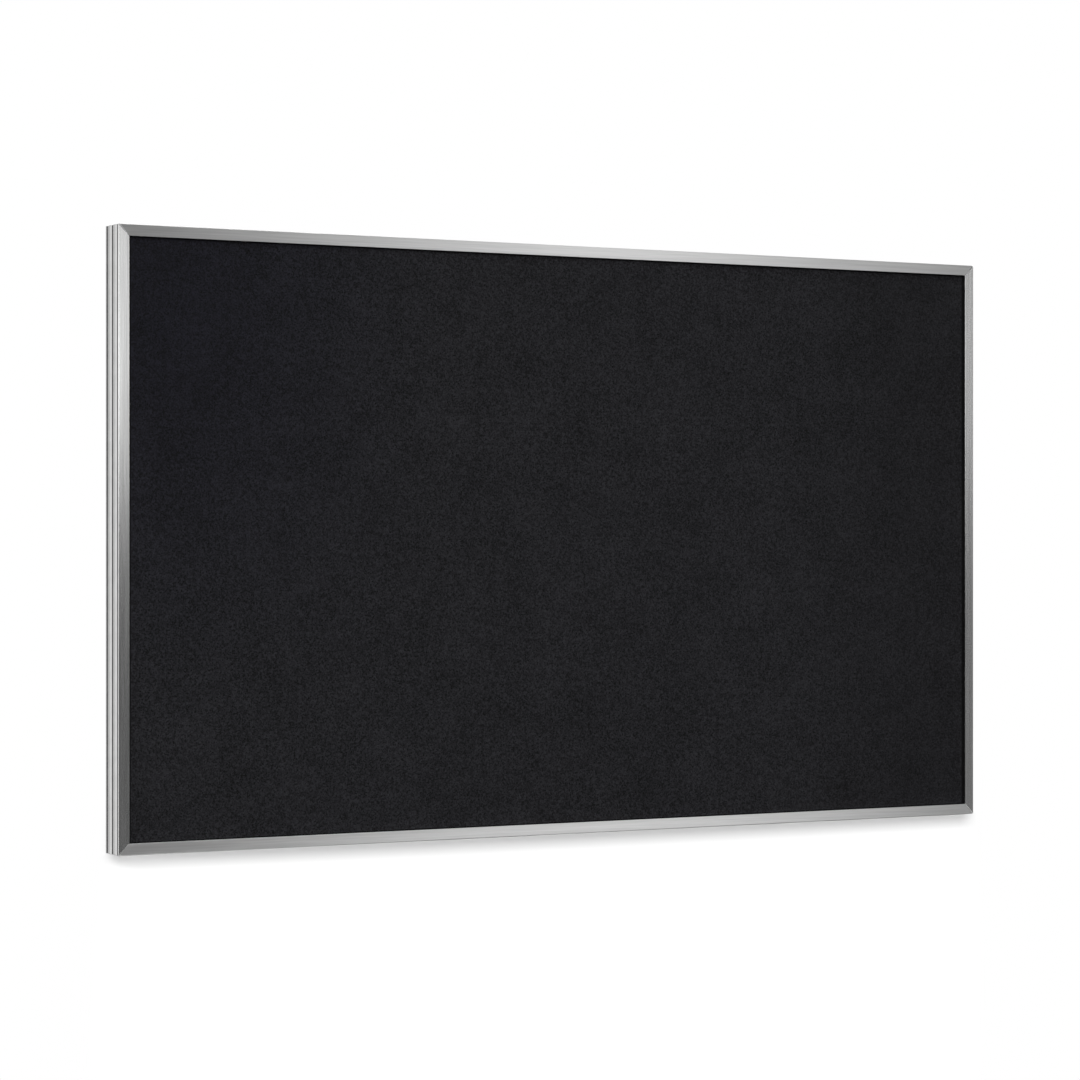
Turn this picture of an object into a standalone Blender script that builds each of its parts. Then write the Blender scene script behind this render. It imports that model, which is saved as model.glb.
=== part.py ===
"""Framed rubber tackboard.

A sheet of granulated rubber on a backing board sits in the slot of a mitred aluminium frame.
Threaded corner plates in the rear channel of the rails lock the mitres, and the top rail
hooks over three steel hangers on the wall.

Metres, +Z up. X runs along the board, its front faces -Y, and the wall is the plane Y = 0.
The origin lies on the back of the middle hanger, level with its screw holes.
"""

import math

import bmesh
import bpy
from mathutils import Matrix, Vector

# The whole board, outside to outside
BOARD_WIDTH = 1.524
BOARD_HEIGHT = 0.9144
BOARD_DEPTH = 0.0508

# Gaps that the whole board shares
SEAT_GAP = 0.0003
MITRE_GAP = 0.0003
CUT_OVERRUN = 0.004
WELD_DISTANCE = 0.000001

# Front of a rail: the flat face and the lip that turns back onto the rubber
FACE_WIDTH = 0.0168
FACE_WALL = 0.0018
LIP_HEIGHT = 0.0047
LIP_WALL = 0.0016

# Outer side of a rail: flat bands at its edges, and shallow reeds between grooves
EDGE_BAND = 0.0036
REED_COUNT = 2
REED_RISE = 0.0003
GROOVE_WIDTH = 0.0037
GROOVE_DEPTH = 0.0015
GROOVE_RADIUS = 0.0004
SIDE_WALL = 0.0011

# Webs and edges of a rail
WEB_WALL = 0.0016
CHANNEL_LIP_WALL = 0.0016
OUTER_EDGE_RADIUS = 0.001
INNER_EDGE_RADIUS = 0.0006
BROKEN_EDGE = 0.0003
FILLET_RADIUS = 0.0004

# The panel in the slot of the rails
RUBBER_THICKNESS = 0.00635
BACKING_THICKNESS = 0.00635
BOND_GAP = 0.0003
PANEL_EDGE_GAP = 0.0015
RUBBER_EDGE_RADIUS = 0.0005

# Corner plates, the shims under them and their set screws
PLATE_THICKNESS = 0.0022
PLATE_SIDE_GAP = 0.0003
PLATE_CORNER_RADIUS = 0.002
SHIM_THICKNESS = 0.001
JACK_HEIGHT = 0.0008
FIRST_SCREW = 0.022
SCREW_PITCH = 0.018
SCREW_END_MARGIN = 0.008
SCREW_RADIUS = 0.0025
SCREW_CHAMFER = 0.0005
SCREW_TIP_RADIUS = 0.0013
SCREW_HOLE_GAP = 0.0002
SCREW_PROUD = 0.0011
SCREW_SLOT_WIDTH = 0.0009
SCREW_SLOT_DEPTH = 0.0012
DRIVER_ROOM = 0.0008
SCREW_TURN = math.radians(137)

# Wall hangers: a tongue in the top rail, a step under it and a leg on the wall
HANGER_SPREAD_SHARE = 0.66
HANGER_STEEL = 0.002
HANGER_WIDTH = 0.060
HANGER_LEG = 0.038
HANGER_BEND = 0.0015
HANGER_CORNER_RADIUS = 0.005
HANGER_SCREW_DROP = 0.022
HANGER_HOLE_RADIUS = 0.00275
HANGER_HOLE_SPACING = 0.036
TONGUE_ROOM = 0.002

# How finely round shapes are cut into flats
CORNER_STEPS = 4
REED_STEPS = 12
HOLE_STEPS = 24
SCREW_STEPS = 20

# Depths behind the front face, from the rubber to the wall
RUBBER_FRONT = LIP_HEIGHT + SEAT_GAP
RUBBER_BACK = RUBBER_FRONT + RUBBER_THICKNESS
BACKING_FRONT = RUBBER_BACK + BOND_GAP
BACKING_BACK = BACKING_FRONT + BACKING_THICKNESS
WEB_FRONT = BACKING_BACK + SEAT_GAP
WEB_BACK = WEB_FRONT + WEB_WALL
CHANNEL_LIP_FRONT = BOARD_DEPTH - CHANNEL_LIP_WALL
PLATE_BACK = CHANNEL_LIP_FRONT - SEAT_GAP
PLATE_FRONT = PLATE_BACK - PLATE_THICKNESS
SHIM_BACK = PLATE_FRONT - JACK_HEIGHT
SHIM_FRONT = SHIM_BACK - SHIM_THICKNESS
FLOOR_BACK = SHIM_FRONT - SEAT_GAP
FLOOR_FRONT = FLOOR_BACK - WEB_WALL
SCREW_TIP = SHIM_BACK + SEAT_GAP
SCREW_END = PLATE_BACK + SCREW_PROUD

# Distances in from the outer side of a rail
SIDE_INNER = REED_RISE + GROOVE_DEPTH + SIDE_WALL
CHANNEL_INNER = FACE_WIDTH - LIP_WALL
SCREW_LINE = (SIDE_INNER + CHANNEL_INNER) / 2
SLOT_HALF = SCREW_RADIUS + DRIVER_ROOM

# Reeds share what the edge bands and the grooves leave of the depth
REED_WIDTH = (BOARD_DEPTH - 2 * EDGE_BAND - (REED_COUNT + 1) * GROOVE_WIDTH) / REED_COUNT
REED_PITCH = REED_WIDTH + GROOVE_WIDTH
GROOVE_FLOOR = REED_RISE + GROOVE_DEPTH

# Height of the board's top edge over the screws of the hangers
BOARD_TOP = FACE_WIDTH + SEAT_GAP + HANGER_SCREW_DROP


def clear_scene():
    """Remove every object that the file opens with."""
    for item in list(bpy.data.objects):
        bpy.data.objects.remove(item)


def collection(name):
    """A new collection in the scene."""
    group = bpy.data.collections.new(name)
    bpy.context.scene.collection.children.link(group)
    return group


def surface(name, colour, roughness, metallic):
    """A plain material with a colour, a roughness and a metallic value, made once."""
    if name in bpy.data.materials:
        return bpy.data.materials[name]
    material = bpy.data.materials.new(name)
    material.use_nodes = True
    shader = material.node_tree.nodes["Principled BSDF"]
    shader.inputs["Base Color"].default_value = (*colour, 1)
    shader.inputs["Roughness"].default_value = roughness
    shader.inputs["Metallic"].default_value = metallic
    material.diffuse_color = (*colour, 1)
    return material


def satin_aluminium():
    """Anodised aluminium of the rails."""
    return surface("satin_aluminium", (0.60, 0.61, 0.62), 0.34, 1)


def black_rubber():
    """Granulated black rubber of the tack surface."""
    return surface("black_rubber", (0.016, 0.016, 0.018), 0.85, 0)


def hardboard():
    """Brown pressed fibre of the backing board."""
    return surface("hardboard", (0.19, 0.10, 0.05), 0.75, 0)


def plated_steel():
    """Zinc-plated steel of the corner plates, shims and hangers."""
    return surface("plated_steel", (0.55, 0.55, 0.52), 0.38, 1)


def black_steel():
    """Black oxide steel of the set screws."""
    return surface("black_steel", (0.045, 0.045, 0.05), 0.42, 1)


def place(name, mesh, material, parent, location=(0, 0, 0), turn=(0, 0, 0)):
    """A part of the board, with its mesh, material and place under its parent."""
    part = bpy.data.objects.new(name, mesh)
    if material.name not in mesh.materials:
        mesh.materials.append(material)
    part.parent = parent
    part.location = location
    part.rotation_euler = turn
    bpy.data.collections["rubber_tackboard"].objects.link(part)
    return part


def guide(name, parent, location=(0, 0, 0), turn=(0, 0, 0)):
    """An empty that other objects are placed from."""
    empty = bpy.data.objects.new(name, None)
    empty.parent = parent
    empty.location = location
    empty.rotation_euler = turn
    bpy.data.collections["guides"].objects.link(empty)
    return empty


def cutter(name, mesh, parent, location=(0, 0, 0), turn=(0, 0, 0)):
    """A hidden solid that is cut out of another."""
    tool = bpy.data.objects.new(name, mesh)
    tool.parent = parent
    tool.location = location
    tool.rotation_euler = turn
    tool.hide_render = True
    tool.display_type = "WIRE"
    bpy.data.collections["cutters"].objects.link(tool)
    return tool


def cut(part, tool):
    """Cut a tool out of a part with a Boolean modifier."""
    boolean = part.modifiers.new(tool.name, "BOOLEAN")
    boolean.operation = "DIFFERENCE"
    boolean.solver = "EXACT"
    boolean.object = tool


def finished_mesh(draft):
    """The mesh that a draft object has with its modifiers, in place of the draft."""
    bpy.context.view_layer.update()
    evaluated = draft.evaluated_get(bpy.context.evaluated_depsgraph_get())
    mesh = bpy.data.meshes.new_from_object(evaluated)
    mesh.name = draft.name
    bpy.data.objects.remove(draft)
    return mesh


def smooth(mesh, angle=math.radians(30)):
    """Shade a mesh smooth across all but its sharp edges."""
    mesh.shade_smooth()
    mesh.set_sharp_from_angle(angle=angle)


def box_mesh(name, size):
    """A box of the given size, centred on its origin."""
    shape = bmesh.new()
    bmesh.ops.create_cube(shape, size=1, matrix=Matrix.Diagonal((*size, 1)))
    mesh = bpy.data.meshes.new(name)
    shape.to_mesh(mesh)
    shape.free()
    return mesh


def slab_mesh(name, outlines, thickness):
    """A slab centred on its own plane; outlines inside the first one are holes."""
    curve = bpy.data.curves.new(name, "CURVE")
    curve.dimensions = "2D"
    curve.fill_mode = "BOTH"
    curve.extrude = thickness / 2
    for outline in outlines:
        spline = curve.splines.new("POLY")
        spline.points.add(len(outline) - 1)
        for point, (x, y) in zip(spline.points, outline):
            point.co = (x, y, 0, 1)
        spline.use_cyclic_u = True
    draft = bpy.data.objects.new(name, curve)
    bpy.context.scene.collection.objects.link(draft)
    mesh = finished_mesh(draft)
    bpy.data.curves.remove(curve)
    shape = bmesh.new()
    shape.from_mesh(mesh)
    bmesh.ops.remove_doubles(shape, verts=shape.verts, dist=WELD_DISTANCE)
    shape.to_mesh(mesh)
    shape.free()
    return mesh


def circle(centre, radius, steps=HOLE_STEPS):
    """Points of a circle."""
    turns = [2 * math.pi * index / steps for index in range(steps)]
    return [(centre[0] + radius * math.cos(turn), centre[1] + radius * math.sin(turn)) for turn in turns]


def rounded(corners):
    """An outline through corners (x, y, radius), each with a radius turned into an arc.

    A radius is limited so that no arc takes more than half of the shorter side next to it.
    """
    outline = []
    for index, (x, y, radius) in enumerate(corners):
        corner = Vector((x, y))
        before = Vector(corners[index - 1][:2]) - corner
        after = Vector(corners[(index + 1) % len(corners)][:2]) - corner
        if not radius:
            outline.append((x, y))
            continue
        half = before.angle(after) / 2
        reach = min(radius / math.tan(half), before.length / 2, after.length / 2)
        radius = reach * math.tan(half)
        middle = (before.normalized() + after.normalized()).normalized()
        centre = corner + middle * (radius / math.sin(half))
        spoke = corner + before.normalized() * reach - centre
        turn = spoke.angle_signed(corner + after.normalized() * reach - centre)
        for step in range(CORNER_STEPS + 1):
            point = centre + Matrix.Rotation(-turn * step / CORNER_STEPS, 2) @ spoke
            outline.append(tuple(point))
    return outline


def reed(back):
    """Corners of one reed's crown, a shallow arc running forward from the depth given."""
    radius = (REED_WIDTH ** 2 / 4 + REED_RISE ** 2) / (2 * REED_RISE)
    swing = math.asin(REED_WIDTH / 2 / radius)
    crown = []
    for step in range(1, REED_STEPS):
        turn = swing * (2 * step / REED_STEPS - 1)
        inset = radius - radius * math.cos(turn)
        crown.append((inset, back - REED_WIDTH / 2 - radius * math.sin(turn), 0))
    return crown


def reeded_side():
    """Corners of the outer side, from the back edge forward: grooves with reeds between them."""
    corners = []
    for index in range(REED_COUNT + 1):
        back = BOARD_DEPTH - EDGE_BAND - index * REED_PITCH
        front = back - GROOVE_WIDTH
        back_level = REED_RISE if index else 0
        front_level = REED_RISE if index < REED_COUNT else 0
        corners += [
            (back_level, back, 0),
            (GROOVE_FLOOR, back, GROOVE_RADIUS),
            (GROOVE_FLOOR, front, GROOVE_RADIUS),
            (front_level, front, 0),
        ]
        if index < REED_COUNT:
            corners += reed(front)
    return corners


def rail_section():
    """Section of a rail: x runs in from its outer side, and y back from its face."""
    corners = [
        (0, 0, OUTER_EDGE_RADIUS),
        (FACE_WIDTH, 0, INNER_EDGE_RADIUS),
        (FACE_WIDTH, LIP_HEIGHT, BROKEN_EDGE),
        (CHANNEL_INNER, LIP_HEIGHT, BROKEN_EDGE),
        (CHANNEL_INNER, FACE_WALL, FILLET_RADIUS),
        (SIDE_INNER, FACE_WALL, FILLET_RADIUS),
        (SIDE_INNER, WEB_FRONT, FILLET_RADIUS),
        (FACE_WIDTH, WEB_FRONT, BROKEN_EDGE),
        (FACE_WIDTH, WEB_BACK, BROKEN_EDGE),
        (SIDE_INNER, WEB_BACK, FILLET_RADIUS),
        (SIDE_INNER, FLOOR_FRONT, FILLET_RADIUS),
        (FACE_WIDTH, FLOOR_FRONT, HANGER_BEND - SEAT_GAP),
        (FACE_WIDTH, BOARD_DEPTH, BROKEN_EDGE),
        (SCREW_LINE + SLOT_HALF, BOARD_DEPTH, BROKEN_EDGE),
        (SCREW_LINE + SLOT_HALF, CHANNEL_LIP_FRONT, BROKEN_EDGE),
        (CHANNEL_INNER, CHANNEL_LIP_FRONT, FILLET_RADIUS),
        (CHANNEL_INNER, FLOOR_BACK, FILLET_RADIUS),
        (SIDE_INNER, FLOOR_BACK, FILLET_RADIUS),
        (SIDE_INNER, CHANNEL_LIP_FRONT, FILLET_RADIUS),
        (SCREW_LINE - SLOT_HALF, CHANNEL_LIP_FRONT, BROKEN_EDGE),
        (SCREW_LINE - SLOT_HALF, BOARD_DEPTH, BROKEN_EDGE),
        (0, BOARD_DEPTH, OUTER_EDGE_RADIUS),
    ]
    return rounded(corners + reeded_side())


def mitre_cutters(rail, length):
    """Wedges that cut both ends of a rail at 45 degrees, half a mitre gap short of the corner."""
    thickness = FACE_WIDTH + CUT_OVERRUN
    across = 2 * math.sqrt(2) * (FACE_WIDTH + CUT_OVERRUN)
    size = (across, BOARD_DEPTH + 2 * CUT_OVERRUN, thickness)
    for end in (-1, 1):
        outward = Vector((1, 0, end)).normalized()
        middle = Vector((0, BOARD_DEPTH / 2, end * length / 2))
        middle += outward * (thickness - MITRE_GAP) / 2
        name = f"{rail.name}_mitre_{'high' if end > 0 else 'low'}"
        turn = (0, math.radians(45 * end), 0)
        cut(rail, cutter(name, box_mesh(name, size), rail, middle, turn))


def rail(name, length, board, location, turn, material):
    """One mitred length of the extrusion, running along its own Z axis."""
    mesh = slab_mesh(name, [rail_section()], length)
    smooth(mesh)
    part = place(name, mesh, material, board, location, (0, math.radians(turn), 0))
    mitre_cutters(part, length)
    return part


def frame_rails(board):
    """The four rails, each turned about Y so that its X axis runs in over the board."""
    material = satin_aluminium()
    side = BOARD_WIDTH / 2
    edge = BOARD_HEIGHT / 2
    rail("left_rail", BOARD_HEIGHT, board, (-side, 0, 0), 0, material)
    rail("bottom_rail", BOARD_WIDTH, board, (0, 0, -edge), -90, material)
    rail("right_rail", BOARD_HEIGHT, board, (side, 0, 0), 180, material)
    rail("top_rail", BOARD_WIDTH, board, (0, 0, edge), 90, material)


def panel_sheet(name, board, front, back, material):
    """A sheet that fills the slot of the frame and stands on the bottom rail."""
    width = BOARD_WIDTH - 2 * (SIDE_INNER + PANEL_EDGE_GAP)
    height = BOARD_HEIGHT - 2 * SIDE_INNER - PANEL_EDGE_GAP - SEAT_GAP
    middle = (0, (front + back) / 2, (SEAT_GAP - PANEL_EDGE_GAP) / 2)
    return place(name, box_mesh(name, (width, back - front, height)), material, board, middle)


def rubber_sheet(board):
    """The tack surface, with its cut edges slightly eased."""
    sheet = panel_sheet("rubber_sheet", board, RUBBER_FRONT, RUBBER_BACK, black_rubber())
    ease = sheet.modifiers.new("eased_edges", "BEVEL")
    ease.width = RUBBER_EDGE_RADIUS
    ease.segments = 2
    return sheet


def backing_board(board):
    """The stiff board that the rubber is bonded to."""
    return panel_sheet("backing_board", board, BACKING_FRONT, BACKING_BACK, hardboard())


def screw_places():
    """Places of a corner's set screws, as distances in from the two outer sides."""
    along = (FIRST_SCREW, FIRST_SCREW + SCREW_PITCH)
    return [(reach, SCREW_LINE) for reach in along] + [(SCREW_LINE, reach) for reach in along]


def corner_outline():
    """The L outline that slides in the channels of two rails that meet."""
    outer = SIDE_INNER + PLATE_SIDE_GAP
    inner = CHANNEL_INNER - PLATE_SIDE_GAP
    tip = FIRST_SCREW + SCREW_PITCH + SCREW_END_MARGIN
    return rounded([
        (outer, outer, PLATE_CORNER_RADIUS),
        (tip, outer, PLATE_CORNER_RADIUS),
        (tip, inner, PLATE_CORNER_RADIUS),
        (inner, inner, PLATE_SIDE_GAP),
        (inner, tip, PLATE_CORNER_RADIUS),
        (outer, tip, PLATE_CORNER_RADIUS),
    ])


def corner_piece_mesh(name, outlines, front, back):
    """A flat corner piece between two depths, with its thickness along Y."""
    mesh = slab_mesh(name, outlines, back - front)
    mesh.transform(Matrix.Rotation(math.radians(90), 4, "X"))
    mesh.transform(Matrix.Translation((0, (front + back) / 2, 0)))
    smooth(mesh)
    return mesh


def corner_plate_mesh():
    """The threaded corner plate."""
    holes = [circle(spot, SCREW_RADIUS + SCREW_HOLE_GAP) for spot in screw_places()]
    return corner_piece_mesh("corner_plate", [corner_outline()] + holes, PLATE_FRONT, PLATE_BACK)


def corner_shim_mesh():
    """The plain shim that the screw tips press on."""
    return corner_piece_mesh("corner_shim", [corner_outline()], SHIM_FRONT, SHIM_BACK)


def set_screw_mesh():
    """A slotted set screw along Y, its tip at the front and its slot at the back."""
    length = SCREW_END - SCREW_TIP
    profile = [
        (0, length),
        (SCREW_RADIUS - SCREW_CHAMFER, length),
        (SCREW_RADIUS, length - SCREW_CHAMFER),
        (SCREW_RADIUS, SCREW_RADIUS - SCREW_TIP_RADIUS),
        (SCREW_TIP_RADIUS, 0),
        (0, 0),
    ]
    edges = [(spot, spot + 1) for spot in range(len(profile) - 1)]
    mesh = bpy.data.meshes.new("set_screw_profile")
    mesh.from_pydata([(x, 0, z) for x, z in profile], edges, [])
    draft = bpy.data.objects.new("set_screw", mesh)
    bpy.context.scene.collection.objects.link(draft)
    turned = draft.modifiers.new("turned", "SCREW")
    turned.steps = SCREW_STEPS
    turned.render_steps = SCREW_STEPS
    turned.use_merge_vertices = True
    turned.merge_threshold = WELD_DISTANCE
    slot_size = (2 * SCREW_RADIUS + CUT_OVERRUN, SCREW_SLOT_WIDTH, 2 * SCREW_SLOT_DEPTH)
    slot = cutter("set_screw_slot", box_mesh("set_screw_slot", slot_size), None, (0, 0, length))
    cut(draft, slot)
    screw = finished_mesh(draft)
    bpy.data.objects.remove(slot)
    smooth(screw)
    return screw


def corner(name, board, side, edge, turn, shared):
    """Plate, shim and set screws of one corner, placed from the frame's outer corner.

    In the corner's own axes X and Z run in along the two rails, and Y runs back.
    """
    spot = (side * BOARD_WIDTH / 2, 0, edge * BOARD_HEIGHT / 2)
    origin = guide(f"{name}_corner", board, spot, (0, math.radians(turn), 0))
    place(f"corner_plate_{name}", shared["plate"], shared["steel"], origin)
    place(f"corner_shim_{name}", shared["shim"], shared["steel"], origin)
    for index, (along, up) in enumerate(screw_places()):
        screw_turn = (-math.pi / 2, SCREW_TURN * (index + side + 2 * edge), 0)
        screw_name = f"set_screw_{name}_{index + 1}"
        tip = (along, SCREW_TIP, up)
        place(screw_name, shared["screw"], shared["screw_steel"], origin, tip, screw_turn)


def corners(board):
    """The hardware that locks the four mitres."""
    shared = {
        "plate": corner_plate_mesh(),
        "shim": corner_shim_mesh(),
        "screw": set_screw_mesh(),
        "steel": plated_steel(),
        "screw_steel": black_steel(),
    }
    corner("bottom_left", board, -1, -1, 0, shared)
    corner("bottom_right", board, 1, -1, -90, shared)
    corner("top_right", board, 1, 1, 180, shared)
    corner("top_left", board, -1, 1, 90, shared)


def hanger_outline():
    """Side view of the bent steel: x is the depth, and y the height over the step's top."""
    tongue_back = FLOOR_FRONT - SEAT_GAP
    tongue_front = tongue_back - HANGER_STEEL
    tongue_top = FACE_WIDTH + SEAT_GAP - SIDE_INNER - TONGUE_ROOM
    leg_front = BOARD_DEPTH - HANGER_STEEL
    inside = HANGER_BEND
    outside = HANGER_BEND + HANGER_STEEL
    return rounded([
        (tongue_front, tongue_top, 0),
        (tongue_front, -HANGER_STEEL, outside),
        (leg_front, -HANGER_STEEL, inside),
        (leg_front, -HANGER_LEG, 0),
        (BOARD_DEPTH, -HANGER_LEG, 0),
        (BOARD_DEPTH, 0, outside),
        (tongue_back, 0, inside),
        (tongue_back, tongue_top, 0),
    ])


def round_free_corners(mesh):
    """Round the corners of the hanger's two free ends, seen from the front."""
    shape = bmesh.new()
    shape.from_mesh(mesh)
    heights = [vertex.co.z for vertex in shape.verts]
    ends = (min(heights), max(heights))
    edges = []
    for edge in shape.edges:
        first, second = (vertex.co for vertex in edge.verts)
        along_y = abs(first.x - second.x) < WELD_DISTANCE and abs(first.z - second.z) < WELD_DISTANCE
        if along_y and min(abs(first.z - level) for level in ends) < WELD_DISTANCE:
            edges.append(edge)
    bmesh.ops.bevel(
        shape, geom=edges, offset=HANGER_CORNER_RADIUS, segments=CORNER_STEPS, profile=0.5, affect="EDGES"
    )
    shape.to_mesh(mesh)
    shape.free()


def hanger_mesh():
    """One wall hanger, in the board's axes, with the top of its step at height zero."""
    mesh = slab_mesh("wall_hanger", [hanger_outline()], HANGER_WIDTH)
    mesh.transform(Matrix.Rotation(math.radians(90), 4, "Z") @ Matrix.Rotation(math.radians(90), 4, "X"))
    round_free_corners(mesh)
    draft = bpy.data.objects.new("wall_hanger", mesh)
    bpy.context.scene.collection.objects.link(draft)
    holes = []
    for side in (-1, 1):
        spot = (side * HANGER_HOLE_SPACING / 2, 0)
        drill = slab_mesh("hanger_hole", [circle(spot, HANGER_HOLE_RADIUS)], HANGER_STEEL + 2 * CUT_OVERRUN)
        place_of_drill = (0, BOARD_DEPTH, -HANGER_SCREW_DROP)
        holes.append(cutter("hanger_hole", drill, None, place_of_drill, (math.radians(90), 0, 0)))
        cut(draft, holes[-1])
    hanger = finished_mesh(draft)
    for hole in holes:
        bpy.data.objects.remove(hole)
    smooth(hanger)
    return hanger


def wall_hangers(board):
    """The hangers, spread evenly under the top rail, which rests on their steps."""
    mesh = hanger_mesh()
    reach = BOARD_WIDTH * HANGER_SPREAD_SHARE / 2
    height = BOARD_HEIGHT / 2 - FACE_WIDTH - SEAT_GAP
    for name, side in (("left", -1), ("middle", 0), ("right", 1)):
        place(f"wall_hanger_{name}", mesh, plated_steel(), board, (side * reach, 0, height))


def build():
    """Model the whole board."""
    clear_scene()
    for name in ("rubber_tackboard", "guides", "cutters"):
        collection(name)
    middle = (0, -BOARD_DEPTH, BOARD_TOP - BOARD_HEIGHT / 2)
    board = guide("board_face_middle", None, middle)
    frame_rails(board)
    rubber_sheet(board)
    backing_board(board)
    corners(board)
    wall_hangers(board)


build()
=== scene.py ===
"""Finishes a packed rubber tackboard and sets it in a plain studio.

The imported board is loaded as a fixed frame. Each operator dresses one kind of piece, and the
last one makes the floor, the lamp, the studio's light and the camera. Metres, +Z up, and the
board's front faces -Y.
"""

import math

import bpy
import numpy as np
from bpy.props import FloatProperty, FloatVectorProperty, IntProperty, PointerProperty
from mathutils import Matrix, Vector


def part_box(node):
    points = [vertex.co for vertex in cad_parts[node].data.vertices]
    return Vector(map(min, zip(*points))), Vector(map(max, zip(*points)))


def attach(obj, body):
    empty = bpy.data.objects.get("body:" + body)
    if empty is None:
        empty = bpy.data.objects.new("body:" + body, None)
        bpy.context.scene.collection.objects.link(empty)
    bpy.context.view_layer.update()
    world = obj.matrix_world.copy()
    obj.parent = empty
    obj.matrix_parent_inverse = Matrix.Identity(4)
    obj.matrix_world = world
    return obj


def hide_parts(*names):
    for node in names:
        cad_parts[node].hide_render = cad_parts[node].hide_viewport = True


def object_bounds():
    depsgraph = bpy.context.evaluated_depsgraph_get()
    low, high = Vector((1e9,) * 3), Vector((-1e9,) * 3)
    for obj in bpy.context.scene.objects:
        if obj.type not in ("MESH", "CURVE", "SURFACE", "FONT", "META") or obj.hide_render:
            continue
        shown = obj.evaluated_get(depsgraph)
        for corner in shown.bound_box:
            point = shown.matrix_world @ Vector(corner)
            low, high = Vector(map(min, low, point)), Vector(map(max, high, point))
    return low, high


bl_info = {
    "name": "Rubber tackboard finishes",
    "version": (1, 0, 0),
    "blender": (4, 5, 0),
    "location": "3D View > Sidebar > Tackboard",
    "description": "Finishes the pieces of a framed rubber tackboard and sets it in a studio",
    "category": "Object",
}

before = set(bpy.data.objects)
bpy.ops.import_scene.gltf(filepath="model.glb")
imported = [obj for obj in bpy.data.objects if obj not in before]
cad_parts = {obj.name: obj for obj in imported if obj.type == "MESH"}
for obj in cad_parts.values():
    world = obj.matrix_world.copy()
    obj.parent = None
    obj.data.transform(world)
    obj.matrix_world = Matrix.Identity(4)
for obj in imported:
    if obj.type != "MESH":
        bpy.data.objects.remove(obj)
CAD_LOW, CAD_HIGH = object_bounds()
BOARD_MIDDLE = (CAD_LOW + CAD_HIGH) / 2
BOARD_SIZE = CAD_HIGH - CAD_LOW
FRONT = CAD_LOW.y

# Depths behind the front face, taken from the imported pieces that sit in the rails
SHEET_LOW, SHEET_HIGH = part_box("rubber_sheet")
RUBBER_FRONT = SHEET_LOW.y - FRONT
BACKING_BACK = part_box("backing_board")[1].y - FRONT
SHIM_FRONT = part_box("corner_shim_top_left")[0].y - FRONT
PLATE_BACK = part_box("corner_plate_top_left")[1].y - FRONT
RAIL_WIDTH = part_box("left_rail")[1].x - CAD_LOW.x

# Turns about Y that run a rail's own inward axis over the board, from each side
RAIL_TURNS = {"left_rail": 0, "bottom_rail": -90, "right_rail": 180, "top_rail": 90}
CORNERS = ("bottom_left", "bottom_right", "top_left", "top_right")
HANGERS = ("left", "middle", "right")

BLACK, WHITE = (0, 0, 0), (1, 1, 1)
SEEING_RAYS = ("Is Camera Ray", "Is Glossy Ray", "Is Transmission Ray")

# Zones of the studio's light: the low and high end of a direction's x or z, and the width of the
# soft edge at both
BAND_Z = (0.025, 0.085, 0.04)
STRIP_X = (0.43, 0.567, 0.1)
SOFTBOX_X = (0.44, 0.557, 0.08)
KEY_X = (-0.4, 0.15, 0.12)
KEY_Z = (0.34, 0.9, 0.15)
GAP_Z = (-0.16, 0.018, 0.034)

# Steps of the studio's light: the x, y or z where each starts, and where it is complete. A flag
# is a dark panel, and its y and z give where it ends.
LEFT_WALL_X = (-0.3, -0.05)
MIDDLE_WALL_X = (0.17, 0.31)
RIGHT_WALL_X = (0.59, 0.67)
STRIP_FADE_Z = (0, 0.03)
SOFTBOX_Z = (0.1, 0.2)
GAP_LIGHT_X = (0.3, 0.75)
CEILING_Z = (0.5, 0.7)
NEAR_SHADE_X = (0.12, 0.3)
FAR_SHADE_X = (0.3, 0.52)
FLAG_X = (0.3, 0.55)
FLAG_Y = (0.25, 0.45)
FLAG_Z = (0.2, 0.4)
BEHIND_Y = (-0.17, 0.17)

# The strip's light above its foot beside the light at its foot, and the parts of the backdrop's
# shade that end at its near and its far step
STRIP_FADE = 0.95
NEAR_SHARE, FAR_SHARE = 0.45, 0.55


def length(name, description, default):
    """A distance property in metres."""
    return FloatProperty(
        name=name, description=description, default=default, min=0, unit="LENGTH", subtype="DISTANCE",
        precision=5,
    )


def colour(name, description, default):
    """A colour property."""
    return FloatVectorProperty(
        name=name, description=description, default=default, min=0, max=1, size=3, subtype="COLOR"
    )


def share(name, description, default):
    """A property from zero to one."""
    return FloatProperty(
        name=name, description=description, default=default, min=0, max=1, subtype="FACTOR"
    )


def strength(name, description, default):
    """A brightness property, where one is white."""
    return FloatProperty(name=name, description=description, default=default, min=0)


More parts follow.
